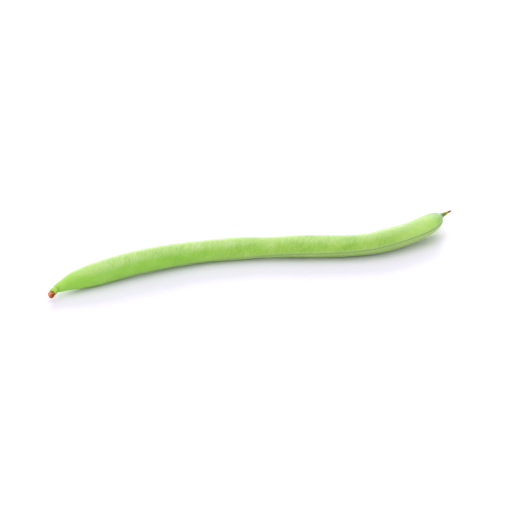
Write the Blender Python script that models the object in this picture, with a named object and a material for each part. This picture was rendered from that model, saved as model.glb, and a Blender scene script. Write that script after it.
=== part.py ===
"""A fresh green bean, as picked, lying on its flat side.

The bean is one closed pod with a beak at its tip. The dry calyx sits on its neck like a small cup, and the broken
stub of the stem stands in the calyx. Lengths are in millimetres and angles in degrees down to finish_piece, which
brings each piece to metres. +X runs from the stem to the beak, and the bean rests on Z = 0.
"""

import math
from dataclasses import dataclass

import bmesh
import bpy
import numpy as np
from mathutils import Vector

MILLIMETRE = 0.001


@dataclass(frozen=True)
class Bend:
    """One bend of the axis, seen from above: it starts at an arc length and turns left where positive."""

    start: float
    length: float
    turn: float


@dataclass(frozen=True)
class Station:
    """The pod at one arc length: half its depth from suture to suture, and the gap under its flat side."""

    arc: float
    half_depth: float
    lift: float


# The axis, measured by arc length from the broken end of the stem to the tip of the beak
AXIS_LENGTH = 155.7
AXIS_STEP = 0.25
STEM_END = (-74.55, 3.50)
STEM_HEADING = 47.8
BENDS = (
    Bend(0.0, 12.0, -41.3),
    Bend(12.0, 50.0, -11.7),
    Bend(45.0, 44.0, -17.8),
    Bend(104.5, 28.0, 27.2),
    Bend(112.0, 30.0, 15.5),
)

# The whole bean, from the stem through the pod's neck and body to its beak. It rests where the gap is least
STATIONS = (
    Station(0.0, 0.90, 0.85),
    Station(2.0, 0.90, 1.55),
    Station(3.7, 0.88, 2.00),
    Station(4.5, 1.08, 1.86),
    Station(5.2, 1.48, 1.52),
    Station(8.0, 2.05, 1.05),
    Station(13.0, 3.20, 0.45),
    Station(22.0, 3.99, 0.02),
    Station(36.0, 4.18, 0.33),
    Station(48.0, 4.08, 0.32),
    Station(60.0, 3.95, 0.22),
    Station(71.0, 4.04, 0.02),
    Station(83.0, 3.86, 0.30),
    Station(95.0, 4.17, 0.22),
    Station(105.0, 4.26, -0.03),
    Station(117.0, 4.17, 0.25),
    Station(125.0, 4.40, 0.34),
    Station(137.0, 4.23, 0.45),
    Station(156.0, 4.28, 0.80),
)
THICKNESS_RATIO = 0.84

# How far the near suture is turned down from level, by arc length: the pod twists as it goes
TWIST_ARCS = np.array((20.0, 50.0, 70.0, 84.0, 104.0, 125.0, 147.0))
TWISTS = np.array((44.5, 38.7, 32.2, 22.3, 11.4, -1.4, -13.7))

# The blunt end: the pod leans to its near suture, rounds off, and leaves the beak on the axis
LEAN = 2.3
LEAN_START = 123.0
LEAN_LENGTH = 20.0
ROUND_START = 137.0
ROUND_END = 149.2
ROUND_POWER = 1.8
BEAK_START = 149.3
BEAK_FAR_REACH = 2.10
BEAK_NEAR_REACH = 1.15
BEAK_TIP_REACH = 0.40
BEAK_POWER = 1.8

# Seeds swell both flat sides a little, at these arc lengths
SEEDS = (23.0, 48.0, 71.0, 95.0, 124.0)
SEED_HALF_LENGTH = 6.5
SEED_BULGE = 0.30

# Each suture is a fine groove between two low lips
GROOVE_DEPTH = 0.16
GROOVE_ANGLE = 4.5
LIP_HEIGHT = 0.06
LIP_ANGLE = 11.0
SUTURE_START = 9.0
SUTURE_FADE = 12.0
SUTURE_END_FADE = 2.0

# The mesh of the pod: vertices round it crowd to the sutures, and rings along it crowd to the blunt end
SIDES = 32
CROWDING = 0.6
CUT_SNAP = 0.02
RING_RUNS = (
    (3.7, 9.0, 7),
    (9.0, 22.0, 8),
    (22.0, 136.0, 57),
    (136.0, 146.0, 8),
    (146.0, 149.2, 8),
    (149.2, 155.7, 6),
)

# The calyx, a shallow cup with five short lobes round the neck: radius and arc length from the stem's side
CALYX_SIDES = 20
CALYX_PROFILE = (
    (0.00, 2.10),
    (0.88, 2.10),
    (1.10, 2.40),
    (1.22, 2.90),
    (1.28, 3.50),
    (1.28, 4.00),
    (1.17, 4.00),
    (1.09, 3.55),
    (0.00, 3.55),
)
CALYX_WALL = 1.12
CALYX_LOBES = 5
CALYX_LOBE_HEIGHT = 0.25
CALYX_LOBE_START = 3.3
CALYX_RIM = 4.00

# The broken stub of the stem, three-cornered, with a ragged end: arc length and radius of each ring
STUB_SIDES = 18
STUB_RINGS = ((0.55, 0.32), (0.90, 0.74), (1.40, 1.06), (1.98, 1.16))
STUB_CORNERS = 3
STUB_CORNER_SHARE = 0.15
STUB_CORNER_ANGLE = 40.0
STUB_RAGGEDNESS = 0.14
STUB_SEED = 4

SHARP_ANGLE = 40.0
POD_GREEN = (0.36, 0.60, 0.12, 1.0)
POD_ROUGHNESS = 0.45
CALYX_GREEN = (0.52, 0.58, 0.20, 1.0)
CALYX_ROUGHNESS = 0.6
STUB_BROWN = (0.38, 0.13, 0.06, 1.0)
STUB_ROUGHNESS = 0.8


def clear_scene():
    """Take every object out of the scene."""
    for item in list(bpy.data.objects):
        bpy.data.objects.remove(item, do_unlink=True)


def ease(value):
    """Rise smoothly from 0 to 1 as the value does."""
    t = np.clip(value, 0.0, 1.0)
    return t * t * (3.0 - 2.0 * t)


def smooth_through(arc, arcs, values):
    """Read a smooth curve through the stations, which never swings past one of them."""
    gaps = np.diff(arcs)
    slopes = np.diff(values) / gaps
    tangents = np.zeros(len(arcs))
    tangents[0] = slopes[0]
    tangents[-1] = slopes[-1]
    for i in range(1, len(arcs) - 1):
        if slopes[i - 1] * slopes[i] > 0.0:
            before = 2.0 * gaps[i] + gaps[i - 1]
            after = gaps[i] + 2.0 * gaps[i - 1]
            tangents[i] = (before + after) / (before / slopes[i - 1] + after / slopes[i])
    i = int(np.clip(np.searchsorted(arcs, arc, side="right") - 1, 0, len(arcs) - 2))
    t = float(np.clip((arc - arcs[i]) / gaps[i], 0.0, 1.0))
    rise = ease(t)
    leave = t * (1.0 - t) ** 2 * gaps[i] * tangents[i]
    arrive = t * t * (t - 1.0) * gaps[i] * tangents[i + 1]
    return float(values[i] * (1.0 - rise) + values[i + 1] * rise + leave + arrive)


STATION_ARCS = np.array([station.arc for station in STATIONS])
HALF_DEPTHS = np.array([station.half_depth for station in STATIONS])
LIFTS = np.array([station.lift for station in STATIONS])


def heading(arc):
    """Return the axis's direction seen from above, in radians."""
    turned = sum(bend.turn * ease((arc - bend.start) / bend.length) for bend in BENDS)
    return np.radians(STEM_HEADING + turned)


def twist(arc):
    """Return how far the near suture is turned down from level, in radians."""
    return math.radians(smooth_through(arc, TWIST_ARCS, TWISTS))


def half_height(arc):
    """Return how far the plain section reaches below the axis."""
    depth = smooth_through(arc, STATION_ARCS, HALF_DEPTHS)
    return depth * math.hypot(math.sin(twist(arc)), THICKNESS_RATIO * math.cos(twist(arc)))


def axis_height(arc):
    """Return the axis's height above the surface that the bean lies on."""
    return half_height(arc) + smooth_through(arc, STATION_ARCS, LIFTS)


def plan_curve():
    """Follow the heading from the stem to the beak, and return the arc lengths and the places in plan."""
    arcs = np.arange(0.0, AXIS_LENGTH + AXIS_STEP / 2.0, AXIS_STEP)
    middles = heading(arcs[:-1] + AXIS_STEP / 2.0)
    xs = STEM_END[0] + np.concatenate(([0.0], np.cumsum(np.cos(middles) * AXIS_STEP)))
    ys = STEM_END[1] + np.concatenate(([0.0], np.cumsum(np.sin(middles) * AXIS_STEP)))
    return arcs, xs, ys


PLAN_ARCS, PLAN_X, PLAN_Y = plan_curve()


def axis_point(arc):
    """Return the place on the axis at an arc length."""
    x = float(np.interp(arc, PLAN_ARCS, PLAN_X))
    y = float(np.interp(arc, PLAN_ARCS, PLAN_Y))
    return Vector((x, y, axis_height(arc)))


def axis_frame(arc):
    """Return the place, the direction, and the directions to the near suture and to the lower flat side."""
    ahead = axis_point(min(arc + AXIS_STEP, AXIS_LENGTH))
    along = (ahead - axis_point(max(arc - AXIS_STEP, 0.0))).normalized()
    left = Vector((0.0, 0.0, 1.0)).cross(along).normalized()
    above = along.cross(left)
    near = -left * math.cos(twist(arc)) - above * math.sin(twist(arc))
    return axis_point(arc), along, near, along.cross(near)


def seed_swelling(arc):
    """Return how far the seeds push the flat sides out at an arc length."""
    offsets = ((arc - seed) / SEED_HALF_LENGTH for seed in SEEDS)
    return sum(SEED_BULGE * math.exp(-offset * offset) for offset in offsets)


def suture_relief(arc, angle):
    """Return how far a suture's lips stand out, or its groove lies in, at an angle from the near suture."""
    away = min(abs(angle), math.pi - abs(angle))
    groove = GROOVE_DEPTH * math.exp(-((away / math.radians(GROOVE_ANGLE)) ** 2))
    lips = LIP_HEIGHT * math.exp(-(((away - math.radians(LIP_ANGLE)) / math.radians(GROOVE_ANGLE)) ** 2))
    fade = float(ease((arc - SUTURE_START) / SUTURE_FADE)) * float(ease((ROUND_END - arc) / SUTURE_END_FADE))
    return (lips - groove) * fade


def beak_reach(arc, reach_at_base):
    """Return how far the beak reaches to one side, from its base in the pod's blunt end to its tip."""
    left = min((AXIS_LENGTH - arc) / (AXIS_LENGTH - BEAK_START), 1.0)
    return BEAK_TIP_REACH + (reach_at_base - BEAK_TIP_REACH) * left**BEAK_POWER


def pod_reach(arc):
    """Return the pod's reach from the axis to its far suture, to its near suture and to its flat sides."""
    depth = smooth_through(arc, STATION_ARCS, HALF_DEPTHS)
    lean = LEAN * float(ease((arc - LEAN_START) / LEAN_LENGTH))
    far = depth - lean
    near = depth + lean
    if arc > ROUND_START:
        share = min((arc - ROUND_START) / (ROUND_END - ROUND_START), 1.0)
        rounding = math.sqrt(1.0 - share**ROUND_POWER)
        far_beak = beak_reach(arc, BEAK_FAR_REACH)
        near_beak = beak_reach(arc, BEAK_NEAR_REACH)
        far = far_beak + (far - far_beak) * rounding
        near = near_beak + (near - near_beak) * rounding
    return far, near, THICKNESS_RATIO * (far + near) / 2.0


def pod_point(arc, angle):
    """Return the place on the pod's skin at an arc length and an angle from the near suture."""
    centre, _, to_near, to_flat = axis_frame(arc)
    far, near, flat = pod_reach(arc)
    reach = near if math.cos(angle) > 0.0 else far
    fullness = min(flat / (THICKNESS_RATIO * HALF_DEPTHS.max()), 1.0)
    swollen = flat + seed_swelling(arc) * fullness
    relief = 1.0 + suture_relief(arc, angle) * fullness / reach
    return centre + to_near * (reach * relief * math.cos(angle)) + to_flat * (swollen * relief * math.sin(angle))


def ring_arcs():
    """Return the arc lengths of the pod's rings, close together where the shape changes fast."""
    arcs = [RING_RUNS[0][0]]
    for start, end, count in RING_RUNS:
        arcs.extend(start + (end - start) * (i + 1) / count for i in range(count))
    return arcs


def capped_tube(sides, rings):
    """Make a closed tube along Z with a radius of 1, its rings at whole heights from 0."""
    bm = bmesh.new()
    bmesh.ops.create_cone(bm, cap_ends=True, segments=sides, radius1=1.0, radius2=1.0, depth=1.0)
    long_edges = [edge for edge in bm.edges if edge.verts[0].co.z * edge.verts[1].co.z < 0.0]
    bmesh.ops.subdivide_edges(bm, edges=long_edges, cuts=rings - 2)
    bmesh.ops.translate(bm, vec=(0.0, 0.0, 0.5), verts=bm.verts)
    bmesh.ops.scale(bm, vec=(1.0, 1.0, rings - 1.0), verts=bm.verts)
    return bm


def build_pod():
    """Move each vertex of a capped tube to its place on the pod's skin, and cut the spots that it rests on."""
    arcs = ring_arcs()
    bm = capped_tube(SIDES, len(arcs))
    for vertex in bm.verts:
        around = math.atan2(vertex.co.y, vertex.co.x)
        angle = around - CROWDING * math.sin(2.0 * around) / 2.0
        vertex.co = pod_point(arcs[round(vertex.co.z)], angle)
    cut = bmesh.ops.bisect_plane(
        bm, geom=bm.verts[:] + bm.edges[:] + bm.faces[:], dist=CUT_SNAP, use_snap_center=True,
        plane_co=(0.0, 0.0, 0.0), plane_no=(0.0, 0.0, -1.0), clear_outer=True,
    )
    rims = [item for item in cut["geom_cut"] if isinstance(item, bmesh.types.BMEdge)]
    bmesh.ops.edgenet_fill(bm, edges=rims)
    bmesh.ops.recalc_face_normals(bm, faces=bm.faces)
    return finish_piece(bm, "pod", POD_GREEN, POD_ROUGHNESS)


def bend_along_axis(bm):
    """Take a piece that stands on Z = 0 with its height as arc length, and bend it along the bean's axis."""
    for vertex in bm.verts:
        centre, _, near, flat = axis_frame(vertex.co.z)
        vertex.co = centre + near * vertex.co.x + flat * vertex.co.y


def build_calyx():
    """Turn the cup's profile round the axis, and draw its rim out into lobes."""
    bm = bmesh.new()
    verts = [bm.verts.new((radius, 0.0, height)) for radius, height in CALYX_PROFILE]
    edges = [bm.edges.new(pair) for pair in zip(verts, verts[1:])]
    bmesh.ops.spin(
        bm, geom=verts + edges, cent=(0.0, 0.0, 0.0), axis=(0.0, 0.0, 1.0),
        angle=math.tau, steps=CALYX_SIDES, use_merge=True,
    )
    bmesh.ops.remove_doubles(bm, verts=bm.verts, dist=0.001)
    for vertex in bm.verts:
        if vertex.co.xy.length > CALYX_WALL and vertex.co.z > CALYX_LOBE_START:
            wave = math.cos(CALYX_LOBES * math.atan2(vertex.co.y, vertex.co.x))
            share = (vertex.co.z - CALYX_LOBE_START) / (CALYX_RIM - CALYX_LOBE_START)
            vertex.co.z += CALYX_LOBE_HEIGHT * wave * share
    bend_along_axis(bm)
    bmesh.ops.recalc_face_normals(bm, faces=bm.faces)
    return finish_piece(bm, "calyx", CALYX_GREEN, CALYX_ROUGHNESS)


def build_stem_stub():
    """Give a capped tube the stub's outline, with a ragged broken end."""
    rng = np.random.default_rng(STUB_SEED)
    bm = capped_tube(STUB_SIDES, len(STUB_RINGS))
    for vertex in bm.verts:
        height, radius = STUB_RINGS[round(vertex.co.z)]
        torn = STUB_RAGGEDNESS * rng.uniform(-1.0, 1.0) if vertex.co.z < 0.5 else 0.0
        around = math.atan2(vertex.co.y, vertex.co.x) - math.radians(STUB_CORNER_ANGLE)
        radius *= 1.0 + STUB_CORNER_SHARE * math.cos(STUB_CORNERS * around)
        vertex.co = Vector((vertex.co.x * radius, vertex.co.y * radius, height + torn))
    bend_along_axis(bm)
    return finish_piece(bm, "stem_stub", STUB_BROWN, STUB_ROUGHNESS)


def finish_piece(bm, name, colour, roughness):
    """Bring a piece to metres, and put it in the scene with a material of its own."""
    bmesh.ops.scale(bm, vec=(MILLIMETRE, MILLIMETRE, MILLIMETRE), verts=bm.verts)
    mesh = bpy.data.meshes.new(name)
    bm.to_mesh(mesh)
    bm.free()
    mesh.shade_smooth()
    mesh.set_sharp_from_angle(angle=math.radians(SHARP_ANGLE))
    material = bpy.data.materials.new(name)
    material.use_nodes = True
    shader = material.node_tree.nodes["Principled BSDF"]
    shader.inputs["Base Color"].default_value = colour
    shader.inputs["Roughness"].default_value = roughness
    shader.inputs["Metallic"].default_value = 0.0
    mesh.materials.append(material)
    piece = bpy.data.objects.new(name, mesh)
    bpy.context.scene.collection.objects.link(piece)
    return piece


clear_scene()
build_pod()
build_calyx()
build_stem_stub()
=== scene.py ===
"""The looks of a fresh green bean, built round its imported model.

The pod, the dry calyx on its neck and the broken stub of its stem all follow one axis, as they do in the
model. Lengths are in millimetres and angles in degrees, unless a name or a comment says otherwise. Each
piece is brought to metres when it is put in the scene.
"""

import logging
import math
from dataclasses import dataclass
from enum import Enum
from typing import Any

import bmesh
import bpy
import numpy as np
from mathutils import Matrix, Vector, noise


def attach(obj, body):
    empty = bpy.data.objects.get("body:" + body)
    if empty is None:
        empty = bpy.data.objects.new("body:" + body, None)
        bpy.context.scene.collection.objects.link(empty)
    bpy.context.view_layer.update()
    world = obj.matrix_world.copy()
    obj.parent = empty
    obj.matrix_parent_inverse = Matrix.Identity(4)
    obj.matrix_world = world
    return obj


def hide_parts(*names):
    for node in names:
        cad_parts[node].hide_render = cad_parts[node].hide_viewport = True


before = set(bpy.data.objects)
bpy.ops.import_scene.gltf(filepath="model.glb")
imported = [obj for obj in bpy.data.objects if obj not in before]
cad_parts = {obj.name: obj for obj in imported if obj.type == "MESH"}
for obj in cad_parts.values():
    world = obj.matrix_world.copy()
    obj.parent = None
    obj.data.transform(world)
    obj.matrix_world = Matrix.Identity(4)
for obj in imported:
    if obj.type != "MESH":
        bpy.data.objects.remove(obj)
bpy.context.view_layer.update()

LOG = logging.getLogger("green_bean")
MILLIMETRE = 0.001
BODY = "root"

Colour = tuple[float, float, float]
Size = tuple[float, float, float]
Wire = bpy.types.NodeSocket
Hue = Colour | Wire
Number = "float | Socket"

# A smooth rise from 0 at the first number to 1 at the second, or a fall where the first is the greater.
Span = tuple[float, float]


class Slot(Enum):
    """The record's material slots."""

    POD = "pod_skin"
    CALYX = "calyx"
    STEM = "dry_stem"


class Trace(Enum):
    """The attributes that the meshes carry for their materials."""

    SPACE = "straight_space"
    SUTURE = "suture_gap"


def ease(values: np.ndarray) -> np.ndarray:
    """Rise smoothly from 0 to 1 as the values do."""
    t = np.clip(values, 0.0, 1.0)
    return t * t * (3.0 - 2.0 * t)


def bell(values: np.ndarray) -> np.ndarray:
    """Return a smooth bell that is 1 at 0 and about a third at 1."""
    return np.exp(-(values**2))


@dataclass(frozen=True)
class Bend:
    """One bend of the axis, seen from above: it starts at an arc length and turns left where positive."""

    start: float
    length: float
    turn: float


@dataclass(frozen=True)
class Station:
    """The pod at one arc length: half its depth from suture to suture, and the gap under its flat side."""

    arc: float
    half_depth: float
    lift: float


@dataclass(frozen=True)
class SmoothCurve:
    """A curve through given points, which never swings past one of them."""

    arcs: np.ndarray
    values: np.ndarray

    def tangents(self) -> np.ndarray:
        """Find the slope at each point.

        Returns:
            The slopes: 0 where the curve turns round.
        """
        gaps = np.diff(self.arcs)
        slopes = np.diff(self.values) / gaps
        found = np.concatenate(([slopes[0]], np.zeros(len(slopes) - 1), [slopes[-1]]))
        for i in range(1, len(slopes)):
            if slopes[i - 1] * slopes[i] > 0.0:
                before = 2.0 * gaps[i] + gaps[i - 1]
                after = gaps[i] + 2.0 * gaps[i - 1]
                found[i] = (before + after) / (before / slopes[i - 1] + after / slopes[i])
        return found

    def at(self, arcs: np.ndarray) -> np.ndarray:
        """Read the curve.

        Args:
            arcs: the arc lengths to read it at.

        Returns:
            The values there.
        """
        tangents = self.tangents()
        i = np.clip(np.searchsorted(self.arcs, arcs, side="right") - 1, 0, len(self.arcs) - 2)
        gaps = self.arcs[i + 1] - self.arcs[i]
        t = np.clip((arcs - self.arcs[i]) / gaps, 0.0, 1.0)
        rise = ease(t)
        leave = t * (1.0 - t) ** 2 * gaps * tangents[i]
        arrive = t * t * (t - 1.0) * gaps * tangents[i + 1]
        return self.values[i] * (1.0 - rise) + self.values[i + 1] * rise + leave + arrive


@dataclass(frozen=True)
class AxisFrames:
    """Places on the axis, with the directions to the near suture and to the lower flat side, one row each."""

    centres: np.ndarray
    near: np.ndarray
    flat: np.ndarray

    def place(self, to_near: np.ndarray, to_flat: np.ndarray) -> np.ndarray:
        """Return the points that lie those distances from the axis."""
        return self.centres + self.near * to_near[:, None] + self.flat * to_flat[:, None]


@dataclass
class BeanAxis:
    """The line that the bean grew along, measured from the broken end of the stem to the tip of the beak."""

    length: float = 155.7
    step: float = 0.25
    stem_end: tuple[float, float] = (-74.55, 3.50)
    stem_heading: float = 47.8
    bends: tuple[Bend, ...] = (
        Bend(0.0, 12.0, -41.3),
        Bend(12.0, 50.0, -11.7),
        Bend(45.0, 44.0, -17.8),
        Bend(104.5, 28.0, 27.2),
        Bend(112.0, 30.0, 15.5),
    )
    stations: tuple[Station, ...] = (
        Station(0.0, 0.90, 0.85),
        Station(2.0, 0.90, 1.55),
        Station(3.7, 0.88, 2.00),
        Station(4.5, 1.08, 1.86),
        Station(5.2, 1.48, 1.52),
        Station(8.0, 2.05, 1.05),
        Station(13.0, 3.20, 0.45),
        Station(22.0, 3.99, 0.02),
        Station(36.0, 4.18, 0.33),
        Station(48.0, 4.08, 0.32),
        Station(60.0, 3.95, 0.22),
        Station(71.0, 4.04, 0.02),
        Station(83.0, 3.86, 0.30),
        Station(95.0, 4.17, 0.22),
        Station(105.0, 4.26, -0.03),
        Station(117.0, 4.17, 0.25),
        Station(125.0, 4.40, 0.34),
        Station(137.0, 4.23, 0.45),
        Station(156.0, 4.28, 0.80),
    )
    thickness_ratio: float = 0.84
    twist_arcs: tuple[float, ...] = (20.0, 50.0, 70.0, 84.0, 104.0, 125.0, 147.0)
    twists: tuple[float, ...] = (44.5, 38.7, 32.2, 22.3, 11.4, -1.4, -13.7)

    def __post_init__(self) -> None:
        """Follow the heading from the stem to the beak once, and keep the curves that the pieces read."""
        arcs = np.array([station.arc for station in self.stations])
        self.depths = SmoothCurve(arcs, np.array([station.half_depth for station in self.stations]))
        self.lifts = SmoothCurve(arcs, np.array([station.lift for station in self.stations]))
        self.turning = SmoothCurve(np.array(self.twist_arcs), np.array(self.twists))
        self.plan_arcs = np.arange(0.0, self.length + self.step / 2.0, self.step)
        middles = self.heading(self.plan_arcs[:-1] + self.step / 2.0)
        self.plan_x = self.stem_end[0] + np.concatenate(([0.0], np.cumsum(np.cos(middles) * self.step)))
        self.plan_y = self.stem_end[1] + np.concatenate(([0.0], np.cumsum(np.sin(middles) * self.step)))

    def heading(self, arcs: np.ndarray) -> np.ndarray:
        """Return the axis's direction seen from above, in radians."""
        turned = sum(bend.turn * ease((arcs - bend.start) / bend.length) for bend in self.bends)
        return np.radians(self.stem_heading + turned)

    def twist(self, arcs: np.ndarray) -> np.ndarray:
        """Return how far the near suture is turned down from level, in radians."""
        return np.radians(self.turning.at(arcs))

    def points(self, arcs: np.ndarray) -> np.ndarray:
        """Return the places on the axis.

        Args:
            arcs: the arc lengths of the places.

        Returns:
            One row for each place. The height leaves the pod's flat side as far up as the lift there.
        """
        turn = self.twist(arcs)
        half_height = self.depths.at(arcs) * np.hypot(np.sin(turn), self.thickness_ratio * np.cos(turn))
        x = np.interp(arcs, self.plan_arcs, self.plan_x)
        y = np.interp(arcs, self.plan_arcs, self.plan_y)
        return np.stack((x, y, half_height + self.lifts.at(arcs)), axis=1)

    def frames(self, arcs: np.ndarray) -> AxisFrames:
        """Return the places on the axis and the directions across it.

        Args:
            arcs: the arc lengths of the places.

        Returns:
            The frames, one row for each arc length.
        """
        ahead = self.points(np.minimum(arcs + self.step, self.length))
        along = ahead - self.points(np.maximum(arcs - self.step, 0.0))
        along /= np.linalg.norm(along, axis=1, keepdims=True)
        left = np.cross((0.0, 0.0, 1.0), along)
        left /= np.linalg.norm(left, axis=1, keepdims=True)
        above = np.cross(along, left)
        turn = self.twist(arcs)[:, None]
        near = -left * np.cos(turn) - above * np.sin(turn)
        return AxisFrames(self.points(arcs), near, np.cross(along, near))


class Socket:
    """A number in a material. An expression on it adds the Math nodes that work it out."""

    def __init__(self, maker: "NodeMaker", source: Wire) -> None:
        """Keep the node maker and the socket that the number comes from."""
        self.maker = maker
        self.source = source

    def math(self, operation: str, *values: Number) -> "Socket":
        """Work out values with a Math node.

        Args:
            operation: the node's operation.
            *values: what it works on.

        Returns:
            The result.
        """
        inputs = {index: value for index, value in enumerate(values)}
        node = self.maker.make("ShaderNodeMath", {"operation": operation}, inputs)
        return Socket(self.maker, node.outputs[0])

    def __add__(self, other: Number) -> "Socket":
        """Return self + other."""
        return self.math("ADD", self, other)

    def __radd__(self, other: Number) -> "Socket":
        """Return other + self."""
        return self.math("ADD", other, self)

    def __sub__(self, other: Number) -> "Socket":
        """Return self - other."""
        return self.math("SUBTRACT", self, other)

    def __rsub__(self, other: Number) -> "Socket":
        """Return other - self."""
        return self.math("SUBTRACT", other, self)

    def __mul__(self, other: Number) -> "Socket":
        """Return self * other."""
        return self.math("MULTIPLY", self, other)

    def swing(self, reach: float) -> "Socket":
        """Turn a number that swings round a half into one that swings round 0, and so many times as far."""
        return (self - 0.5) * reach

    def ramp(self, low: float, high: float) -> "Socket":
        """Rise smoothly from 0 to 1, or fall from 1 to 0 where low is the greater.

        Args:
            low: where it is 0.
            high: where it is 1.

        Returns:
            The share.
        """
        settings = {"interpolation_type": "SMOOTHSTEP"}
        inputs = {"Value": self, "From Min": low, "From Max": high}
        if low > high:
            inputs = {"Value": self, "From Min": high, "From Max": low, "To Min": 1.0, "To Max": 0.0}
        node = self.maker.make("ShaderNodeMapRange", settings, inputs)
        return Socket(self.maker, node.outputs["Result"])


@dataclass(frozen=True)
class Pattern:
    """A soft random pattern on the straight piece.

    Attributes:
        size: how long its patches are along the pattern's own three directions.
        turn: how far the pattern is turned on the flat side.
        detail: how many finer layers it has.
        roughness: how strong the finer layers are.
        place: where the pattern is read, so that two of them differ.
    """

    size: Size
    turn: float = 0.0
    detail: float = 2.0
    roughness: float = 0.5
    place: Size = (0.0, 0.0, 0.0)


@dataclass(frozen=True)
class Tint:
    """A colour that is laid over another, and how much of it shows at the most."""

    colour: Colour
    share: float = 1.0

    def over(self, below: Hue, mask: Socket) -> Wire:
        """Lay the tint over a colour.

        Args:
            below: the colour.
            mask: where the tint lies, from 0 to 1.

        Returns:
            The colour that shows.
        """
        return mask.maker.mix(mask * self.share, below, self.colour)


class NodeMaker:
    """Adds nodes to one material."""

    def __init__(self, name: str) -> None:
        """Start a material that holds nothing but its output.

        Args:
            name: the material's name.
        """
        self.material = bpy.data.materials.new(name)
        self.material.use_nodes = True
        self.tree = self.material.node_tree
        self.tree.nodes.clear()
        self.output = self.make("ShaderNodeOutputMaterial")

    def make(
        self,
        kind: str,
        settings: dict[str, Any] | None = None,
        inputs: dict[str | int, Any] | None = None,
    ) -> bpy.types.Node:
        """Add one node.

        Args:
            kind: the node's type.
            settings: its own settings, which are set first.
            inputs: a value or a link for each socket, by the socket's identifier, name or index.

        Returns:
            The node.
        """
        node = self.tree.nodes.new(kind)
        for key, value in (settings or {}).items():
            setattr(node, key, value)
        for key, value in (inputs or {}).items():
            matches = [socket for socket in node.inputs if key in (socket.identifier, socket.name)]
            socket = node.inputs[key] if isinstance(key, int) else matches[0]
            if isinstance(value, Socket):
                value = value.source
            if isinstance(value, Wire):
                self.tree.links.new(value, socket)
            else:
                socket.default_value = value
        return node

    def trace(self, trace: Trace) -> Socket:
        """Read a number that the mesh carries."""
        node = self.make("ShaderNodeAttribute", {"attribute_name": trace.value})
        return Socket(self, node.outputs["Fac"])

    def space(self) -> Wire:
        """Read the place on the piece before it was bent, which the mesh carries."""
        node = self.make("ShaderNodeAttribute", {"attribute_name": Trace.SPACE.value})
        return node.outputs["Vector"]

    def straight(self) -> tuple[Socket, Socket, Socket]:
        """Read the arc length, and how far towards the near suture and the lower flat side a place lies."""
        node = self.make("ShaderNodeSeparateXYZ", inputs={"Vector": self.space()})
        return tuple(Socket(self, output) for output in node.outputs)

    def grain(self, pattern: Pattern) -> Socket:
        """Read a pattern.

        Args:
            pattern: its size and its character.

        Returns:
            A number from about 0 to 1.
        """
        turned = (0.0, 0.0, math.radians(pattern.turn))
        inputs = {"Vector": self.space(), "Location": pattern.place}
        inputs |= {"Rotation": turned, "Scale": pattern.size}
        mapping = self.make("ShaderNodeMapping", {"vector_type": "TEXTURE"}, inputs)
        layers = {"Detail": pattern.detail, "Roughness": pattern.roughness}
        inputs = {"Vector": mapping.outputs[0], "Scale": 1.0, **layers}
        node = self.make("ShaderNodeTexNoise", {"noise_dimensions": "3D"}, inputs)
        return Socket(self, node.outputs["Fac"])

    def mix(self, share: Number, first: Hue, second: Hue) -> Wire:
        """Mix two colours.

        Args:
            share: how much of the second one there is.
            first: the colour where share is 0.
            second: the colour where share is 1.

        Returns:
            The mixed colour.
        """
        colours = [(*colour, 1.0) if isinstance(colour, tuple) else colour for colour in (first, second)]
        inputs = {"Factor_Float": share, "A_Color": colours[0], "B_Color": colours[1]}
        node = self.make("ShaderNodeMix", {"data_type": "RGBA"}, inputs)
        return next(socket for socket in node.outputs if socket.identifier == "Result_Color")

    def bump(self, height: Socket, depth: float) -> Wire:
        """Return a normal that follows a relief.

        Args:
            height: the relief, from 0 to 1.
            depth: how high 1 stands, in millimetres.

        Returns:
            The normal.
        """
        inputs = {"Strength": 1.0, "Distance": depth * MILLIMETRE, "Height": height}
        return self.make("ShaderNodeBump", inputs=inputs).outputs["Normal"]

    def shader(self, **sockets: Any) -> Wire:
        """Add a surface shader.

        Args:
            **sockets: its sockets, with _ for each space in a name.

        Returns:
            The surface.
        """
        inputs = {name.replace("_", " "): value for name, value in sockets.items()}
        return self.make("ShaderNodeBsdfPrincipled", inputs=inputs).outputs[0]

    def blend(self, share: Socket, first: Wire, second: Wire) -> Wire:
        """Return a surface that is the first one where share is 0, and the second one where it is 1."""
        return self.make("ShaderNodeMixShader", inputs={0: share, 1: first, 2: second}).outputs[0]

    def finish(self, surface: Wire) -> bpy.types.Material:
        """Give the material its surface, and return it."""
        self.tree.links.new(surface, self.output.inputs["Surface"])
        return self.material


@dataclass(frozen=True)
class SkinPlace:
    """What the pod's colours depend on at a place: its arc length, how far it lies towards the near suture,
    the lower flat side and the side that faces up, its gap to the nearest suture, and two patterns there.
    """

    arc: Socket
    near: Socket
    flat: Socket
    upper: Socket
    gap: Socket
    fibre: Socket
    stripe: Socket


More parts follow.
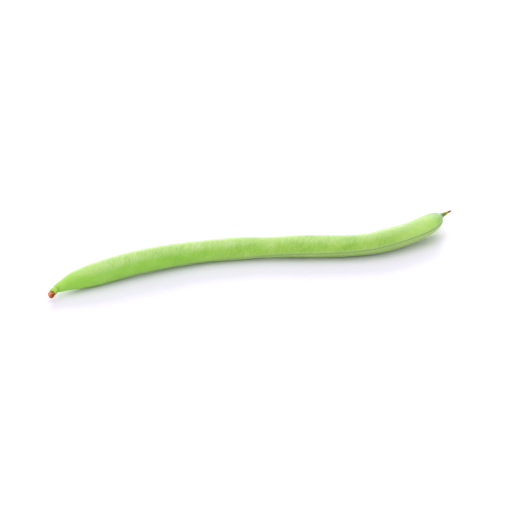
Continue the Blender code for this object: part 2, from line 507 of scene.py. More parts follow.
@dataclass(frozen=True)
class StemHalf:
    """Tints of the half by the stem: a bright streaky neck, painted shade in a deeper green on its lower,
    near side, and painted shade in dark green where the neck meets the calyx.
    """

    neck: Tint = Tint((0.400, 0.780, 0.030), 0.75)
    streaks: Tint = Tint((0.550, 0.770, 0.220), 0.60)
    # Painted shade: a deeper green on the lower, near side of the stem half.
    lower_shade: Tint = Tint((0.240, 0.660, 0.006), 0.50)
    # Painted shade: dark green on the near side where the neck meets the calyx.
    crease_shade: Tint = Tint((0.160, 0.460, 0.004), 0.65)
    neck_run: Span = (30.0, 8.0)
    streak_levels: Span = (0.45, 0.70)
    lower_shade_run: Span = (88.0, 40.0)
    lower_shade_side: Span = (-1.2, 1.8)
    crease_shade_run: Span = (6.2, 4.6)
    crease_shade_side: Span = (-0.8, 0.6)
    crease_shade_slant: float = 0.4

    def lay(self, place: SkinPlace, colour: Hue) -> Wire:
        """Lay the tints over a colour.

        Args:
            place: what they depend on.
            colour: the colour below.

        Returns:
            The colour that shows.
        """
        neck = place.arc.ramp(*self.neck_run)
        colour = self.neck.over(colour, neck)
        colour = self.streaks.over(colour, neck * place.stripe.ramp(*self.streak_levels))
        # Painted shade on the lower, near side.
        lower_shade = place.arc.ramp(*self.lower_shade_run) * place.near.ramp(*self.lower_shade_side)
        colour = self.lower_shade.over(colour, lower_shade)
        # Painted shade where the neck meets the calyx, on its near side.
        crease_shade = (place.arc + place.near * self.crease_shade_slant).ramp(*self.crease_shade_run)
        return self.crease_shade.over(colour, crease_shade * place.near.ramp(*self.crease_shade_side))


@dataclass(frozen=True)
class BeakHalf:
    """Tints of the half by the beak: greyer, then light along its middle, and painted shade in dark green on
    the near side of the blunt end.
    """

    grey: Tint = Tint((0.340, 0.540, 0.100), 0.22)
    ripe: Tint = Tint((0.500, 0.840, 0.130), 0.50)
    # Painted shade: dark green on the near side of the blunt end.
    end_shade: Tint = Tint((0.160, 0.460, 0.004), 0.85)
    grey_run: Span = (96.0, 142.0)
    ripe_start: Span = (116.0, 136.0)
    ripe_end: Span = (146.0, 140.0)
    ripe_side: Span = (3.4, 1.6)
    end_shade_run: Span = (142.5, 148.6)
    end_shade_side: Span = (-3.0, 0.0)
    end_shade_slant: float = 0.6
    end_shade_lean: float = 0.4

    def lay(self, place: SkinPlace, colour: Hue) -> Wire:
        """Lay the tints over a colour.

        Args:
            place: what they depend on.
            colour: the colour below.

        Returns:
            The colour that shows.
        """
        colour = self.grey.over(colour, place.arc.ramp(*self.grey_run))
        ripe = place.arc.ramp(*self.ripe_start) * place.arc.ramp(*self.ripe_end)
        colour = self.ripe.over(colour, ripe * place.upper.ramp(*self.ripe_side))
        # Painted shade on the near side of the blunt end.
        end_shade = (place.arc - place.flat * self.end_shade_slant).ramp(*self.end_shade_run)
        return self.end_shade.over(colour, end_shade * (place.near - place.flat * self.end_shade_lean).ramp(*self.end_shade_side))


@dataclass(frozen=True)
class SheenAndSpecks:
    """A painted sheen: pale on the side that faces up and stronger along the fibres, and a few brown specks
    all round.
    """

    # Painted sheen: the pale rim that grazing light gives the upper side.
    painted_sheen: Tint = Tint((0.620, 0.780, 0.380))
    haze_share: float = 0.18
    fibre_share: float = 0.22
    fibre_levels: Span = (0.40, 0.70)
    side: Span = (2.2, 3.8)
    run: Span = (149.0, 128.0)
    speck: Tint = Tint((0.300, 0.260, 0.050), 0.45)
    specks: Pattern = Pattern((0.42, 0.42, 0.42), detail=0.0, place=(9.0, 9.0, 9.0))
    speck_levels: Span = (0.80, 0.86)

    def lay(self, place: SkinPlace, colour: Hue) -> Wire:
        """Lay the tints over a colour.

        Args:
            place: what they depend on.
            colour: the colour below.

        Returns:
            The colour that shows.
        """
        # Painted sheen on the side that faces up.
        strength = self.haze_share + place.fibre.ramp(*self.fibre_levels) * self.fibre_share
        colour = self.painted_sheen.over(colour, place.upper.ramp(*self.side) * place.arc.ramp(*self.run) * strength)
        specks = place.arc.maker.grain(self.specks)
        return self.speck.over(colour, specks.ramp(*self.speck_levels))


@dataclass(frozen=True)
class SutureTints:
    """Tints along the sutures: painted shade in a greyer green on the lower flat side below the near one, the
    pale lips and the fine dark line.
    """

    # Painted shade: greyer green on the lower flat side below the near suture.
    below_suture_shade: Tint = Tint((0.340, 0.540, 0.100), 0.55)
    lip: Tint = Tint((0.440, 0.640, 0.210), 0.50)
    line: Tint = Tint((0.210, 0.390, 0.075), 0.64)
    start: Span = (14.0, 34.0)
    end: Span = (149.8, 148.4)
    below_suture_shade_flat: Span = (0.1, 0.7)
    below_suture_shade_near: Span = (0.5, 1.5)
    below_suture_shade_run: Span = (60.0, 110.0)
    lip_edge: Span = (1.36, 0.425)
    line_edge: Span = (0.357, 0.063)

    def lay(self, place: SkinPlace, colour: Hue) -> Wire:
        """Lay the tints over a colour.

        Args:
            place: what they depend on.
            colour: the colour below.

        Returns:
            The colour that shows.
        """
        present = place.arc.ramp(*self.start) * place.arc.ramp(*self.end)
        # Painted shade below the near suture, on the lower flat side.
        below_suture_shade = place.flat.ramp(*self.below_suture_shade_flat) * place.near.ramp(*self.below_suture_shade_near)
        colour = self.below_suture_shade.over(colour, below_suture_shade * place.arc.ramp(*self.below_suture_shade_run) * present)
        colour = self.lip.over(colour, place.gap.ramp(*self.lip_edge) * present)
        return self.line.over(colour, place.gap.ramp(*self.line_edge) * present)


@dataclass(frozen=True)
class BeakTints:
    """Tints of the drying beak: olive with painted shade in dark green on its near side, then a yellow band
    and a red-brown tip.
    """

    beak: Tint = Tint((0.310, 0.390, 0.045), 0.9)
    # Painted shade: dark green on the beak's near side.
    under: Tint = Tint((0.080, 0.150, 0.004), 0.7)
    band: Tint = Tint((0.420, 0.400, 0.004))
    tip: Tint = Tint((0.340, 0.070, 0.003))
    beak_run: Span = (149.5, 152.1)
    under_side: Span = (0.0, 0.8)
    band_run: Span = (152.55, 153.25)
    tip_run: Span = (153.85, 154.25)
    slant: float = 0.5
    wander: float = 1.2
    fine_wander: float = 0.48

    def dryness(self, place: SkinPlace) -> Socket:
        """Return how far the skin has dried, from 0 on the pod to 1 on the beak."""
        edge = place.arc + place.stripe.swing(self.wander) + place.near * self.slant
        return edge.ramp(*self.beak_run)

    def lay(self, place: SkinPlace, colour: Hue) -> Wire:
        """Lay the tints over a colour.

        Args:
            place: what they depend on.
            colour: the colour below.

        Returns:
            The colour that shows.
        """
        dry = self.dryness(place)
        edge = place.arc + place.stripe.swing(self.fine_wander)
        colour = self.beak.over(colour, dry)
        # Painted shade on the beak's near side.
        colour = self.under.over(colour, dry * place.near.ramp(*self.under_side))
        colour = self.band.over(colour, edge.ramp(*self.band_run))
        return self.tip.over(colour, edge.ramp(*self.tip_run))


@dataclass(frozen=True)
class PodSkin:
    """Satin green skin with oblique fibres, soft mottling, a fine dark line and a dry tip on the beak."""

    deep: Colour = (0.215, 0.520, 0.010)
    body: Colour = (0.370, 0.680, 0.052)
    pale: Colour = (0.550, 0.770, 0.220)
    body_tones: Span = (1.12, 1.56)
    pale_tones: Span = (1.50, 1.96)
    leaning: Pattern = Pattern((2.2, 0.40, 2.2), 62.0, roughness=0.6)
    crossing: Pattern = Pattern((2.2, 0.40, 2.2), 118.0, roughness=0.6, place=(40.0, 7.0, 0.0))
    patches: Pattern = Pattern((9.0, 9.0, 9.0), place=(5.0, 60.0, 2.0))
    patch_levels: Span = (0.42, 0.58)
    mottles: Pattern = Pattern((3.4, 8.0, 8.0), 78.0, detail=3.0)
    clouds: Pattern = Pattern((17.0, 12.0, 12.0), place=(0.0, 30.0, 0.0))
    pores: Pattern = Pattern((0.42, 0.34, 0.34), detail=1.0)
    stripes: Pattern = Pattern((12.0, 0.35, 0.35))
    fibre_tone: float = 0.70
    mottle_tone: float = 1.05
    cloud_tone: float = 0.65
    pore_tone: float = 0.65
    fibre_height: float = 0.55
    mottle_height: float = 0.90
    pore_height: float = 0.18
    relief: float = 0.035
    turned_run: Span = (110.0, 40.0)
    turned_share: float = 0.45
    layers: tuple[StemHalf, BeakHalf, SheenAndSpecks, SutureTints] = (StemHalf(), BeakHalf(), SheenAndSpecks(), SutureTints())
    beak: BeakTints = BeakTints()
    roughness: float = 0.38
    tone_roughness: float = 0.06

    def fibres(self, maker: NodeMaker) -> Socket:
        """Return the skin's fine fibres, which lean one way in some patches and the other in others."""
        patch = maker.grain(self.patches).ramp(*self.patch_levels)
        return maker.grain(self.leaning) * (1.0 - patch) + maker.grain(self.crossing) * patch

    def build(self) -> bpy.types.Material:
        """Make the material.

        Returns:
            The material.
        """
        maker = NodeMaker("pod_skin")
        arc, near, flat = maker.straight()
        upper = 0.0 - flat - near * arc.ramp(*self.turned_run) * self.turned_share
        gap = maker.trace(Trace.SUTURE)
        fibre = self.fibres(maker)
        place = SkinPlace(arc, near, flat, upper, gap, fibre, maker.grain(self.stripes))
        mottle = maker.grain(self.mottles)
        pore = maker.grain(self.pores)
        tone = fibre * self.fibre_tone + mottle * self.mottle_tone
        tone = tone + maker.grain(self.clouds) * self.cloud_tone + pore * self.pore_tone
        colour = maker.mix(tone.ramp(*self.body_tones), self.deep, self.body)
        colour = maker.mix(tone.ramp(*self.pale_tones), colour, self.pale)
        for layer in (*self.layers, self.beak):
            colour = layer.lay(place, colour)
        height = fibre * self.fibre_height + mottle * self.mottle_height + pore * self.pore_height
        normal = maker.bump(height, self.relief)
        fresh = maker.shader(
            Base_Color=colour,
            Roughness=self.roughness + tone * self.tone_roughness,
            Normal=normal,
            IOR=1.45,
            Subsurface_Weight=0.12,
            Subsurface_Radius=(0.6, 1.0, 0.25),
            Subsurface_Scale=0.0007,
            Specular_IOR_Level=0.9,
            Coat_Weight=0.24,
            Coat_Roughness=0.34,
            Sheen_Weight=1.0,
            Sheen_Roughness=0.26,
            Sheen_Tint=(0.95, 0.82, 1.0, 1.0),
        )
        dried = maker.shader(Base_Color=colour, Roughness=0.65, Normal=normal, Specular_IOR_Level=0.2)
        return maker.finish(maker.blend(self.beak.dryness(place), fresh, dried))


@dataclass(frozen=True)
class CalyxSkin:
    """Pale yellow-green tissue with fine ribs, dried brown at its lobes and towards the stem."""

    fresh: Colour = (0.370, 0.690, 0.035)
    pale: Colour = (0.500, 0.790, 0.110)
    shade: Tint = Tint((0.200, 0.480, 0.010), 0.8)
    dry_base: Tint = Tint((0.360, 0.110, 0.035))
    dry_rim: Tint = Tint((0.360, 0.110, 0.035), 0.3)
    ribs: Pattern = Pattern((4.0, 0.16, 0.16))
    patches: Pattern = Pattern((0.5, 0.5, 0.5), detail=3.0, place=(3.0, 1.0, 2.0))
    rib_levels: Span = (0.35, 0.70)
    shade_side: Span = (0.1, 1.1)
    base_run: Span = (2.65, 2.20)
    base_wander: float = 1.0
    rim_run: Span = (4.0, 4.3)
    rim_wander: float = 0.6
    roughness: float = 0.48
    patch_roughness: float = 0.2
    patch_height: float = 0.5
    relief: float = 0.03

    def build(self) -> bpy.types.Material:
        """Make the material.

        Returns:
            The material.
        """
        maker = NodeMaker("calyx")
        arc, near, _ = maker.straight()
        rib = maker.grain(self.ribs)
        patch = maker.grain(self.patches)
        colour = maker.mix(rib.ramp(*self.rib_levels), self.fresh, self.pale)
        colour = self.shade.over(colour, near.ramp(*self.shade_side))
        colour = self.dry_base.over(colour, (arc + patch.swing(self.base_wander)).ramp(*self.base_run))
        colour = self.dry_rim.over(colour, (arc + patch.swing(self.rim_wander)).ramp(*self.rim_run))
        surface = maker.shader(
            Base_Color=colour,
            Roughness=self.roughness + patch * self.patch_roughness,
            Normal=maker.bump(rib + patch * self.patch_height, self.relief),
            Subsurface_Weight=0.12,
            Subsurface_Radius=(0.8, 1.0, 0.3),
            Subsurface_Scale=0.0004,
            Sheen_Weight=0.1,
        )
        return maker.finish(surface)


@dataclass(frozen=True)
class DryStem:
    """Dry red-brown fibres with orange patches, a painted highlight in pale orange-pink on the far side, and
    painted shade in the crevices between the fibres.
    """

    brown: Colour = (0.380, 0.028, 0.012)
    orange: Tint = Tint((0.700, 0.100, 0.018))
    # Painted highlight: pale orange-pink on the far side, towards the light.
    pink_highlight: Tint = Tint((1.000, 0.400, 0.140), 0.85)
    # Painted shade: near-black in the crevices between the fibres.
    dark: Tint = Tint((0.090, 0.008, 0.004))
    fibres: Pattern = Pattern((2.6, 0.11, 0.11), detail=3.0, roughness=0.6)
    patches: Pattern = Pattern((0.55, 0.55, 0.55), place=(1.0, 5.0, 8.0))
    glows: Pattern = Pattern((0.8, 0.6, 0.6), detail=1.0, place=(6.0, 2.0, 3.0))
    glow_levels: Span = (0.42, 0.60)
    sunny_side: Span = (0.15, -0.75)
    sunny_wander: float = 1.2
    crevice_levels: Span = (0.50, 0.36)
    roughness: float = 0.62
    patch_roughness: float = 0.25
    patch_height: float = 0.6
    relief: float = 0.05

    def build(self) -> bpy.types.Material:
        """Make the material.

        Returns:
            The material.
        """
        maker = NodeMaker("dry_stem")
        _, near, _ = maker.straight()
        fibre = maker.grain(self.fibres)
        patch = maker.grain(self.patches)
        sunny = (near + patch.swing(self.sunny_wander)).ramp(*self.sunny_side)
        colour = self.orange.over(self.brown, maker.grain(self.glows).ramp(*self.glow_levels))
        # Painted highlight on the far side.
        colour = self.pink_highlight.over(colour, sunny)
        # Painted shade in the crevices between the fibres.
        colour = self.dark.over(colour, fibre.ramp(*self.crevice_levels))
        surface = maker.shader(
            Base_Color=colour,
            Roughness=self.roughness + patch * self.patch_roughness,
            Normal=maker.bump(fibre + patch * self.patch_height, self.relief),
            Specular_IOR_Level=0.3,
        )
        return maker.finish(surface)


@dataclass(frozen=True)
class Tabletop:
    """A plain white surface with a soft gloss."""

    white: Colour = (0.90, 0.875, 0.94)
    roughness: float = 0.34

    def build(self) -> bpy.types.Material:
        """Return the material."""
        maker = NodeMaker("tabletop")
        return maker.finish(maker.shader(Base_Color=(*self.white, 1.0), Roughness=self.roughness))


def capped_tube(sides: int, rings: int) -> bmesh.types.BMesh:
    """Make a closed tube along Z with a radius of 1.

    Args:
        sides: how many sides it has.
        rings: how many rings of vertices it has, at whole heights from 0.

    Returns:
        The mesh being built.
    """
    bm = bmesh.new()
    bmesh.ops.create_cone(bm, cap_ends=True, segments=sides, radius1=1.0, radius2=1.0, depth=1.0)
    long_edges = [edge for edge in bm.edges if edge.verts[0].co.z * edge.verts[1].co.z < 0.0]
    bmesh.ops.subdivide_edges(bm, edges=long_edges, cuts=rings - 2)
    bmesh.ops.translate(bm, vec=(0.0, 0.0, 0.5), verts=bm.verts)
    bmesh.ops.scale(bm, vec=(1.0, 1.0, rings - 1.0), verts=bm.verts)
    return bm


def sort_parts(bm: bmesh.types.BMesh, way: Size) -> None:
    """Put the vertices, edges and faces in an order that is the same on every run, because spin's isn't.

    Args:
        bm: the mesh being built.
        way: a direction along which no two vertices lie equally far.
    """
    bm.verts.sort(key=lambda vertex: vertex.co.dot(Vector(way)))
    bm.verts.index_update()
    count = len(bm.verts)

    def rank(part: bmesh.types.BMEdge | bmesh.types.BMFace) -> int:
        """Return a number that no other edge or face has, from its first three vertices."""
        numbers = sorted(vertex.index for vertex in part.verts)[:3]
        return sum(number * count ** (2 - place) for place, number in enumerate(numbers))

    bm.edges.sort(key=rank)
    bm.faces.sort(key=rank)


def places_of(bm: bmesh.types.BMesh) -> np.ndarray:
    """Return where the vertices are, one row each."""
    return np.array([vertex.co for vertex in bm.verts])


def move_to(bm: bmesh.types.BMesh, places: np.ndarray) -> None:
    """Move each vertex to its row."""
    for vertex, place in zip(bm.verts, places):
        vertex.co = place


def roughness_at(places: np.ndarray, size: float, seed: float = 0.0) -> np.ndarray:
    """Read a smooth random relief.

    Args:
        places: where to read it, one row each.
        size: how large its lumps are.
        seed: shifts the pattern, so that two reliefs differ.

    Returns:
        Numbers from about -1 to 1.
    """
    shift = Vector((seed, 2.0 * seed, 3.0 * seed))
    return np.array([noise.noise(Vector(place) / size + shift) for place in places])


def add_trace(mesh: bpy.types.Mesh, trace: Trace, values: np.ndarray) -> None:
    """Store what a material reads of each vertex.

    Args:
        mesh: the mesh that carries it.
        trace: which attribute it is.
        values: one number, or one row of three, for each vertex.
    """
    kind, key = ("FLOAT_VECTOR", "vector") if values.ndim == 2 else ("FLOAT", "value")
    attribute = mesh.attributes.new(trace.value, kind, "POINT")
    attribute.data.foreach_set(key, values.astype(np.float32).ravel())


@dataclass
class Piece:
    """A finished mesh on its way into the scene."""

    node: str
    slot: Slot
    bm: bmesh.types.BMesh
    traces: dict[Trace, np.ndarray]
    sharp_angle: float = 50.0

    def put_in_scene(self, material: bpy.types.Material) -> bpy.types.Object:
        """Bring the mesh to metres, and let it stand for its node.

        Args:
            material: the finish it wears.

        Returns:
            The object.
        """
        name = self.node + "_skin"
        bmesh.ops.scale(self.bm, vec=(MILLIMETRE, MILLIMETRE, MILLIMETRE), verts=self.bm.verts)
        mesh = bpy.data.meshes.new(name)
        self.bm.to_mesh(mesh)
        self.bm.free()
        for trace, values in self.traces.items():
            add_trace(mesh, trace, values)
        mesh.shade_smooth()
        mesh.set_sharp_from_angle(angle=math.radians(self.sharp_angle))
        mesh.materials.append(material)
        piece = bpy.data.objects.new(name, mesh)
        bpy.context.scene.collection.objects.link(piece)
        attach(piece, BODY)
        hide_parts(self.node)
        return piece


@dataclass
class Pod:
    """The closed pod: its neck, its body with a suture along each narrow side, its blunt end and its beak.

    Each run of rings is where it starts, where it ends and how many rings it has.
    """

    axis: BeanAxis
    sides: int = 128
    crowding: float = 0.6
    ring_runs: tuple[tuple[float, float, int], ...] = (
        (3.72, 9.0, 28),
        (9.0, 22.0, 40),
        (22.0, 136.0, 330),
        (136.0, 146.0, 36),
        (146.0, 149.2, 36),
        (149.2, 155.68, 36),
    )
    lean: float = 2.3
    lean_start: float = 123.0
    lean_length: float = 20.0
    round_start: float = 137.0
    round_end: float = 149.2
    round_power: float = 1.8
    beak_start: float = 149.3
    beak_far_reach: float = 2.10
    beak_near_reach: float = 1.15
    beak_tip_reach: float = 0.40
    beak_power: float = 1.8
    seed_places: tuple[float, ...] = (23.0, 48.0, 71.0, 95.0, 124.0)
    seed_half_length: float = 6.5
    seed_bulge: float = 0.30
    groove_depth: float = 0.17
    groove_half_width: float = 0.19
    lip_height: float = 0.06
    lip_place: float = 0.62
    lip_half_width: float = 0.34
    suture_start: float = 9.0
    suture_fade: float = 12.0
    suture_end_fade: float = 2.0
    lump_size: float = 3.2
    lump_height: float = 0.045
    skin_allowance: float = 0.03

    def ring_arcs(self) -> np.ndarray:
        """Space the rings, close together where the shape changes fast.

        Returns:
            Their arc lengths.
        """
        arcs = [self.ring_runs[0][0]]
        for start, end, count in self.ring_runs:
            arcs.extend(start + (end - start) * (i + 1) / count for i in range(count))
        return np.array(arcs)

    def seeds(self, arcs: np.ndarray) -> np.ndarray:
        """Return how far the seeds push the flat sides out."""
        swells = (bell((arcs - place) / self.seed_half_length) for place in self.seed_places)
        return sum(self.seed_bulge * swell for swell in swells)

    def beak(self, arcs: np.ndarray, reach_at_base: float) -> np.ndarray:
        """Return how far the beak reaches to one side, from its base in the pod's blunt end to its tip."""
        left = np.clip((self.axis.length - arcs) / (self.axis.length - self.beak_start), 0.0, 1.0)
        return self.beak_tip_reach + (reach_at_base - self.beak_tip_reach) * left**self.beak_power

    def reaches(self, arcs: np.ndarray) -> tuple[np.ndarray, np.ndarray, np.ndarray]:
        """Return how far the pod reaches from its axis.

        Args:
            arcs: the arc lengths to measure it at.

        Returns:
            The reach to the far suture, to the near suture and to the flat sides.
        """
        depth = self.axis.depths.at(arcs)
        lean = self.lean * ease((arcs - self.lean_start) / self.lean_length)
        share = np.clip((arcs - self.round_start) / (self.round_end - self.round_start), 0.0, 1.0)
        rounding = np.sqrt(1.0 - share**self.round_power)
        far_beak = self.beak(arcs, self.beak_far_reach)
        near_beak = self.beak(arcs, self.beak_near_reach)
        rounded = arcs > self.round_start
        far = np.where(rounded, far_beak + (depth - lean - far_beak) * rounding, depth - lean)
        near = np.where(rounded, near_beak + (depth + lean - near_beak) * rounding, depth + lean)
        return far, near, self.axis.thickness_ratio * (far + near) / 2.0

    def relief(self, arcs: np.ndarray, gap: np.ndarray) -> np.ndarray:
        """Return how far a suture's lips stand out, or its groove lies in.

        Args:
            arcs: the arc length of each place.
            gap: how far each place is from the nearest suture, along the skin.

        Returns:
            The height of each place.
        """
        groove = self.groove_depth * bell(gap / self.groove_half_width)
        lips = self.lip_height * bell((gap - self.lip_place) / self.lip_half_width)
        start = ease((arcs - self.suture_start) / self.suture_fade)
        return (lips - groove) * start * ease((self.round_end - arcs) / self.suture_end_fade)

    def build(self, skin: PodSkin) -> bpy.types.Object:
        """Move each vertex of a capped tube to its place on the skin.

        Args:
            skin: the finish.

        Returns:
            The pod, dressed and in the scene.
        """
        ring_arcs = self.ring_arcs()
        bm = capped_tube(self.sides, len(ring_arcs))
        start = places_of(bm)
        arcs = ring_arcs[np.rint(start[:, 2]).astype(int)]
        around = np.arctan2(start[:, 1], start[:, 0])
        angle = around - self.crowding * np.sin(2.0 * around) / 2.0
        far, near, flat = self.reaches(arcs)
        reach = np.where(np.cos(angle) > 0.0, near, far)
        fullness = np.minimum(flat / (self.axis.thickness_ratio * self.axis.depths.values.max()), 1.0)
        away = np.minimum(np.abs(angle), np.pi - np.abs(angle))
        gap = away * flat
        swollen = flat + self.seeds(arcs) * fullness
        straight = np.stack((arcs, reach * np.cos(angle), swollen * np.sin(angle)), axis=1)
        lumps = self.lump_height * (roughness_at(straight, self.lump_size) - 1.0) - self.skin_allowance
        height = (self.relief(arcs, gap) + lumps) * fullness
        lift = 1.0 + height / reach
        places = self.axis.frames(arcs).place(straight[:, 1] * lift, straight[:, 2] * lift)
        places[:, 2] = np.maximum(places[:, 2], 0.0)
        move_to(bm, places)
        traces = {Trace.SPACE: straight, Trace.SUTURE: gap}
        return Piece("pod", Slot.POD, bm, traces).put_in_scene(skin.build())


@dataclass
class Calyx:
    """The shallow cup on the pod's neck, with five short uneven lobes that lie on the neck.

    Each pair of its profile is a radius and an arc length.
    """

    axis: BeanAxis
    sides: int = 90
    profile: tuple[tuple[float, float], ...] = (
        (0.00, 2.12), (0.50, 2.12), (0.82, 2.14), (0.98, 2.24),
        (1.09, 2.40), (1.17, 2.62), (1.22, 2.90), (1.25, 3.20),
        (1.27, 3.50), (1.27, 3.74), (1.24, 3.92), (1.19, 4.02),
        (1.14, 4.05), (1.10, 4.02), (1.08, 3.84), (1.08, 3.60),
        (0.00, 3.60),
    )
    cuts: int = 2
    lobes: int = 5
    lobe_start: float = 3.4
    rim: float = 4.05
    lobe_height: float = 0.20
    unevenness: float = 0.06
    ribs: int = 15
    rib_height: float = 0.022
    lump_height: float = 0.03
    lump_size: float = 0.5
    lump_level: float = 0.6
    wall_radius: float = 0.80
    wall_fade: float = 0.08
    skin_radius: float = 0.92
    skin_fade: float = 0.06
    uneven_phase: float = 0.8
    smallest_radius: float = 0.5
    merge_distance: float = 0.0005
    sorting_way: Size = (1.0, 31.7, 977.3)

    def build(self, skin: CalyxSkin) -> bpy.types.Object:
        """Turn the cup's profile round the axis, draw its rim out into lobes, and rib it.

        Args:
            skin: the finish.

        Returns:
            The calyx, dressed and in the scene.
        """
        bm = bmesh.new()
        verts = [bm.verts.new((radius, 0.0, height)) for radius, height in self.profile]
        edges = [bm.edges.new(pair) for pair in zip(verts, verts[1:])]
        bmesh.ops.subdivide_edges(bm, edges=edges, cuts=self.cuts)
        bmesh.ops.spin(
            bm,
            geom=bm.verts[:] + bm.edges[:],
            cent=(0.0, 0.0, 0.0),
            axis=(0.0, 0.0, 1.0),
            angle=math.tau,
            steps=self.sides,
            use_merge=True,
        )
        bmesh.ops.remove_doubles(bm, verts=bm.verts, dist=self.merge_distance)
        sort_parts(bm, self.sorting_way)
        places = places_of(bm)
        radius = np.hypot(places[:, 0], places[:, 1])
        around = np.arctan2(places[:, 1], places[:, 0])
        share = np.clip((places[:, 2] - self.lobe_start) / (self.rim - self.lobe_start), 0.0, 1.0)
        on_wall = ease((radius - self.wall_radius) / self.wall_fade)
        uneven = self.unevenness * np.sin(2.0 * around + self.uneven_phase)
        wave = np.abs(np.cos(self.lobes * around / 2.0)) * 2.0 - 1.0
        places[:, 2] += (self.lobe_height * wave + uneven) * share * on_wall
        outside = ease((radius - self.skin_radius) / self.skin_fade)
        relief = self.rib_height * np.cos(self.ribs * around)
        relief += self.lump_height * (roughness_at(places, self.lump_size) - self.lump_level)
        scale = 1.0 + outside * relief / np.maximum(radius, self.smallest_radius)
        frames = self.axis.frames(places[:, 2])
        straight = np.stack((places[:, 2], places[:, 0] * scale, places[:, 1] * scale), axis=1)
        move_to(bm, frames.place(straight[:, 1], straight[:, 2]))
        bmesh.ops.recalc_face_normals(bm, faces=bm.faces)
        return Piece("calyx", Slot.CALYX, bm, {Trace.SPACE: straight}).put_in_scene(skin.build())


@dataclass
class StemStub:
    """The broken end of the stem: a knob of dry fibres with a ragged, hollowed end.

    Each of its rings is an arc length and a radius.
    """

    axis: BeanAxis
    sides: int = 84
    rings: tuple[tuple[float, float], ...] = (
        (0.82, 0.08), (0.76, 0.17), (0.68, 0.25), (0.62, 0.33),
        (0.64, 0.42), (0.72, 0.54), (0.84, 0.68), (0.98, 0.77),
        (1.12, 0.89), (1.28, 0.99), (1.44, 1.08), (1.60, 1.12),
        (1.74, 1.14), (1.86, 1.14), (1.94, 1.11), (1.98, 1.04),
    )
    corners: int = 3
    corner_share: float = 0.15
    corner_angle: float = 40.0
    strands: int = 9
    strand_depth: float = 0.05
    strand_level: float = 1.5
    fine_strands: int = 31
    fine_depth: float = 0.018
    side_radius: float = 0.45
    side_fade: float = 0.3
    raggedness: float = 0.16
    ragged_height: float = 1.1
    ragged_fade: float = 0.7
    ragged_radius: float = 0.25
    ragged_size: float = 0.28
    ragged_seed: float = 5.0
    ragged_swing: float = 0.9
    ragged_level: float = 0.35
    lump_height: float = 0.07
    lump_size: float = 0.45
    lump_seed: float = 2.0
    lump_level: float = 0.5
    smallest_radius: float = 0.3
    sharp_angle: float = 70.0

    def build(self, skin: DryStem) -> bpy.types.Object:
        """Give a capped tube the knob's outline, its strands and its torn end.

        Args:
            skin: the finish.

        Returns:
            The stub, dressed and in the scene.
        """
        bm = capped_tube(self.sides, len(self.rings))
        start = places_of(bm)
        index = np.rint(start[:, 2]).astype(int)
        heights = np.array([height for height, _ in self.rings])[index]
        radii = np.array([radius for _, radius in self.rings])[index]
        around = np.arctan2(start[:, 1], start[:, 0])
        on_side = ease((radii - self.side_radius) / self.side_fade)
        strands = np.abs(np.cos(self.strands * around / 2.0)) * 2.0 - self.strand_level
        radii = radii + on_side * self.strand_depth * strands
        radii += on_side * self.fine_depth * np.cos(self.fine_strands * around)
        radii *= 1.0 + self.corner_share * np.cos(self.corners * (around - math.radians(self.corner_angle)))
        near_end = ease((self.ragged_height - heights) / self.ragged_fade)
        near_end *= ease((radii - self.ragged_radius) / self.side_fade)
        ring = np.stack((np.cos(around), np.sin(around), np.zeros(len(around))), axis=1)
        torn = roughness_at(ring, self.ragged_size, self.ragged_seed) * self.ragged_swing + self.ragged_level
        heights = heights + near_end * self.raggedness * torn
        straight = np.stack((heights, radii * np.cos(around), radii * np.sin(around)), axis=1)
        lumps = roughness_at(straight, self.lump_size, self.lump_seed) - self.lump_level
        lumps *= self.lump_height * on_side
        straight[:, 1:] *= (1.0 + lumps / np.maximum(radii, self.smallest_radius))[:, None]
        frames = self.axis.frames(np.maximum(heights, 0.0))
        move_to(bm, frames.place(straight[:, 1], straight[:, 2]))
        bmesh.ops.recalc_face_normals(bm, faces=bm.faces)
        piece = Piece("stem_stub", Slot.STEM, bm, {Trace.SPACE: straight}, self.sharp_angle)
        return piece.put_in_scene(skin.build())


def direction(azimuth: float, elevation: float) -> Vector:
    """Return the direction to a place.

    Args:
        azimuth: how far it is round from the front, to the right where positive.
        elevation: how far it is above level.

    Returns:
        The direction, with a length of 1.
    """
    turn, rise = math.radians(azimuth), math.radians(elevation)
    return Vector((math.sin(turn) * math.cos(rise), -math.cos(turn) * math.cos(rise), math.sin(rise)))


def aim(data: bpy.types.ID, target: Vector, back: Vector) -> bpy.types.Object:
    """Put a light or a camera in the scene.

    Args:
        data: the light or the camera. The object has its name.
        target: the place that it looks at.
        back: the way from there to it.

    Returns:
        The object.
    """
    piece = bpy.data.objects.new(data.name, data)
    piece.location = target + back
    piece.rotation_euler = back.to_track_quat("Z", "Y").to_euler()
    bpy.context.scene.collection.objects.link(piece)
    return piece


@dataclass(frozen=True)
class SoftBox:
    """A soft light that looks at the bean. Its distance from it and its size are in metres."""

    name: str
    azimuth: float
    elevation: float
    distance: float
    size: tuple[float, float]
    watts: float
    colour: Colour

    def build(self) -> bpy.types.Object:
        """Put the light in the scene.

        Returns:
            The light's object.
        """
        light = bpy.data.lights.new(self.name, "AREA")
        light.shape = "RECTANGLE"
        light.size, light.size_y = self.size
        light.energy = self.watts
        light.color = self.colour
        return aim(light, Vector(), direction(self.azimuth, self.elevation) * self.distance)


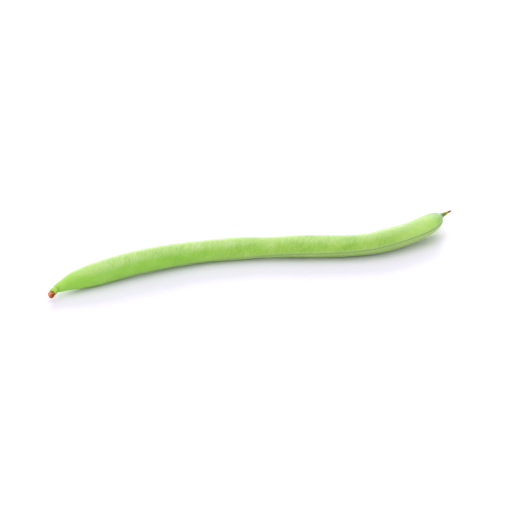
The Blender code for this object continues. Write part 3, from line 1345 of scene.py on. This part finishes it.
@dataclass
class Studio:
    """A white surface, soft light from above and behind, and the camera. Lengths here are in metres."""

    floor_side: float = 6.0
    air: Colour = (0.93, 0.915, 1.0)
    air_strength: float = 0.90
    boxes: tuple[SoftBox, ...] = (
        SoftBox("top_box", 160.0, 72.0, 1.5, (1.8, 1.4), 7.0, (1.0, 0.985, 0.955)),
        SoftBox("back_box", 162.0, 20.0, 1.3, (2.2, 0.5), 8.8, (1.0, 0.96, 1.0)),
    )
    azimuth: float = -25.0
    elevation: float = 28.0
    distance: float = 0.72587
    target: Size = (-0.00193, -0.00195, 0.0040)
    lens: float = 150.0
    sensor: float = 36.0
    nearest: float = 0.01

    def build(self) -> None:
        """Build the floor, the air, the lights and the camera."""
        self.lay_floor()
        self.light_air()
        for box in self.boxes:
            box.build()
        self.set_camera()
        bpy.context.scene.view_settings.view_transform = "Standard"

    def lay_floor(self) -> None:
        """Lay the surface that the bean rests on."""
        bm = bmesh.new()
        bmesh.ops.create_grid(bm, x_segments=1, y_segments=1, size=self.floor_side / 2.0)
        mesh = bpy.data.meshes.new("tabletop")
        bm.to_mesh(mesh)
        bm.free()
        mesh.materials.append(Tabletop().build())
        floor = bpy.data.objects.new("tabletop", mesh)
        bpy.context.scene.collection.objects.link(floor)

    def light_air(self) -> None:
        """Fill the room with even light, faintly lavender."""
        world = bpy.data.worlds.new("air")
        world.use_nodes = True
        background = world.node_tree.nodes["Background"]
        background.inputs["Color"].default_value = (*self.air, 1.0)
        background.inputs["Strength"].default_value = self.air_strength
        bpy.context.scene.world = world

    def set_camera(self) -> None:
        """Set the camera at the photograph's viewing angle."""
        data = bpy.data.cameras.new("camera")
        data.lens = self.lens
        data.sensor_width = self.sensor
        data.clip_start = self.nearest
        back = direction(self.azimuth, self.elevation) * self.distance
        bpy.context.scene.camera = aim(data, Vector(self.target), back)


def main() -> None:
    """Build the studio and the bean."""
    logging.basicConfig(level=logging.INFO, format="%(message)s")
    Studio().build()
    axis = BeanAxis()
    pieces = (Pod(axis).build(PodSkin()), Calyx(axis).build(CalyxSkin()), StemStub(axis).build(DryStem()))
    for piece in pieces:
        mesh = piece.data
        LOG.info("%s: %d vertices, %d faces", piece.name, len(mesh.vertices), len(mesh.polygons))


if __name__ == "__main__":
    main()
